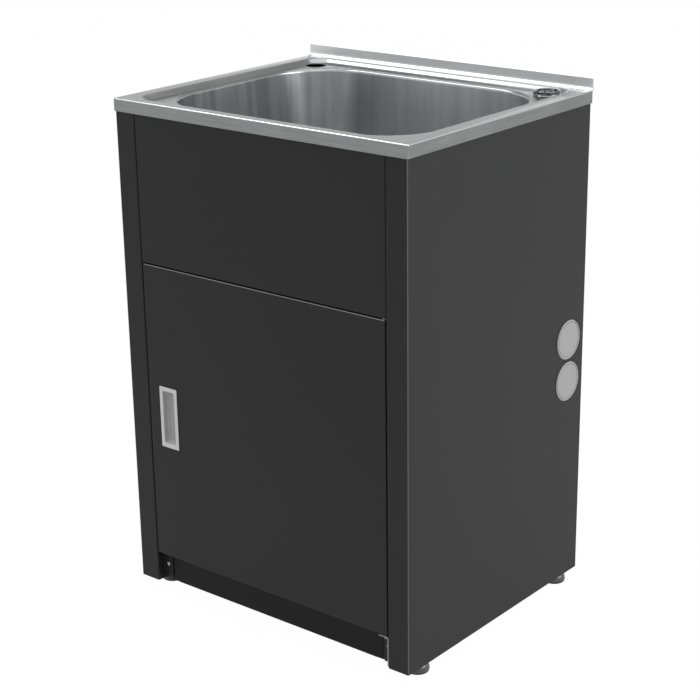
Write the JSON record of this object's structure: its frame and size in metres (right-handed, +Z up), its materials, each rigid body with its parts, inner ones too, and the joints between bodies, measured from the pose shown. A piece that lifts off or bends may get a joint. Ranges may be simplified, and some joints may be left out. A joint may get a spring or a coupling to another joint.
{
  "type": "laundry sink",
  "caption": "Freestanding laundry sink: pressed stainless bowl on a folded-steel cabinet with a hinged door, basket waste, hose bypass and levelling feet.",
  "frame": {"origin": "centre of the footprint on the floor, under the middle of the deck", "axes": "+X to the right as seen from the front, -Y out of the door side, +Z up"},
  "size_m": [0.6, 0.5, 0.897],
  "materials": {
    "brushed_stainless": "brushed and pressed stainless sheet",
    "chrome": "polished plating",
    "black_powder_coat": "satin charcoal-black powder coat",
    "zinc_plated": "bright zinc plating",
    "grey_plastic": "light grey moulded plastic",
    "white_plastic": "white moulded plastic",
    "black_plastic": "glossy black moulded plastic",
    "black_rubber": "black rubber",
    "ferrite": "sintered dark grey"
  },
  "bodies": {
    "cabinet": {"trough": "brushed_stainless", "waste_body": "chrome", "waste_washer": "black_rubber", "waste_backnut": "white_plastic", "waste_tee": "white_plastic", "bypass_pipe": "white_plastic", "bypass_body": "chrome", "bypass_nut": "white_plastic", "side_panel_left": "black_powder_coat", "side_panel_right": "black_powder_coat", "upper_front_panel": "black_powder_coat", "kickboard": "black_powder_coat", "base_panel": "black_powder_coat", "rear_rail_upper": "black_powder_coat", "rear_rail_lower": "black_powder_coat", "hinge_bracket_lower": "zinc_plated", "hinge_pin_lower": "zinc_plated", "hinge_screw_lower_1": "zinc_plated", "hinge_screw_lower_2": "zinc_plated", "hinge_bracket_upper": "zinc_plated", "hinge_pin_upper": "zinc_plated", "hinge_screw_upper_1": "zinc_plated", "hinge_screw_upper_2": "zinc_plated", "catch_housing": "white_plastic", "catch_magnet": "ferrite", "catch_screw_1": "zinc_plated", "catch_screw_2": "zinc_plated", "kick_screw_left": "zinc_plated", "upper_panel_screw_left": "zinc_plated", "rail_screw_upper_left": "zinc_plated", "rail_screw_lower_left": "zinc_plated", "foot_nut_front_left": "zinc_plated", "foot_nut_rear_left": "zinc_plated", "kick_screw_right": "zinc_plated", "upper_panel_screw_right": "zinc_plated", "rail_screw_upper_right": "zinc_plated", "rail_screw_lower_right": "zinc_plated", "foot_nut_front_right": "zinc_plated", "foot_nut_rear_right": "zinc_plated"},
    "door": {"door_skin": "black_powder_coat", "door_liner": "black_powder_coat", "door_pull": "grey_plastic", "hinge_bush_lower": "white_plastic", "hinge_bush_upper": "white_plastic"},
    "basket": {"waste_basket": "chrome"},
    "plug": {"bypass_plug": "chrome"},
    "hose_cap_left_upper_body": {"hose_cap_left_upper": "grey_plastic"},
    "hose_cap_left_lower_body": {"hose_cap_left_lower": "grey_plastic"},
    "hose_cap_right_upper_body": {"hose_cap_right_upper": "grey_plastic"},
    "hose_cap_right_lower_body": {"hose_cap_right_lower": "grey_plastic"},
    "foot_front_left_body": {"foot_front_left": "black_plastic"},
    "foot_rear_left_body": {"foot_rear_left": "black_plastic"},
    "foot_front_right_body": {"foot_front_right": "black_plastic"},
    "foot_rear_right_body": {"foot_rear_right": "black_plastic"}
  },
  "joints": [
    {"name": "door_hinge", "type": "hinge", "parent": "cabinet", "child": "door", "pos_m": [0.2498, -0.2428, 0.3405], "axis": [0, 0, 1], "range_deg": [0, 105]},
    {"name": "basket_lift", "type": "slide", "parent": "cabinet", "child": "basket", "axis": [0, 0, 1], "range_m": [0, 0.3]},
    {"name": "plug_lift", "type": "slide", "parent": "cabinet", "child": "plug", "axis": [0, 0, 1], "range_m": [0, 0.035]},
    {"name": "cap_left_upper_pull", "type": "slide", "parent": "cabinet", "child": "hose_cap_left_upper_body", "axis": [-1, 0, 0], "range_m": [0, 0.03]},
    {"name": "cap_left_lower_pull", "type": "slide", "parent": "cabinet", "child": "hose_cap_left_lower_body", "axis": [-1, 0, 0], "range_m": [0, 0.03]},
    {"name": "cap_right_upper_pull", "type": "slide", "parent": "cabinet", "child": "hose_cap_right_upper_body", "axis": [1, 0, 0], "range_m": [0, 0.03]},
    {"name": "cap_right_lower_pull", "type": "slide", "parent": "cabinet", "child": "hose_cap_right_lower_body", "axis": [1, 0, 0], "range_m": [0, 0.03]},
    {"name": "foot_front_left_level", "type": "slide", "parent": "cabinet", "child": "foot_front_left_body", "axis": [0, 0, -1], "range_m": [0, 0.02]},
    {"name": "foot_rear_left_level", "type": "slide", "parent": "cabinet", "child": "foot_rear_left_body", "axis": [0, 0, -1], "range_m": [0, 0.02]},
    {"name": "foot_front_right_level", "type": "slide", "parent": "cabinet", "child": "foot_front_right_body", "axis": [0, 0, -1], "range_m": [0, 0.02]},
    {"name": "foot_rear_right_level", "type": "slide", "parent": "cabinet", "child": "foot_rear_right_body", "axis": [0, 0, -1], "range_m": [0, 0.02]}
  ]
}
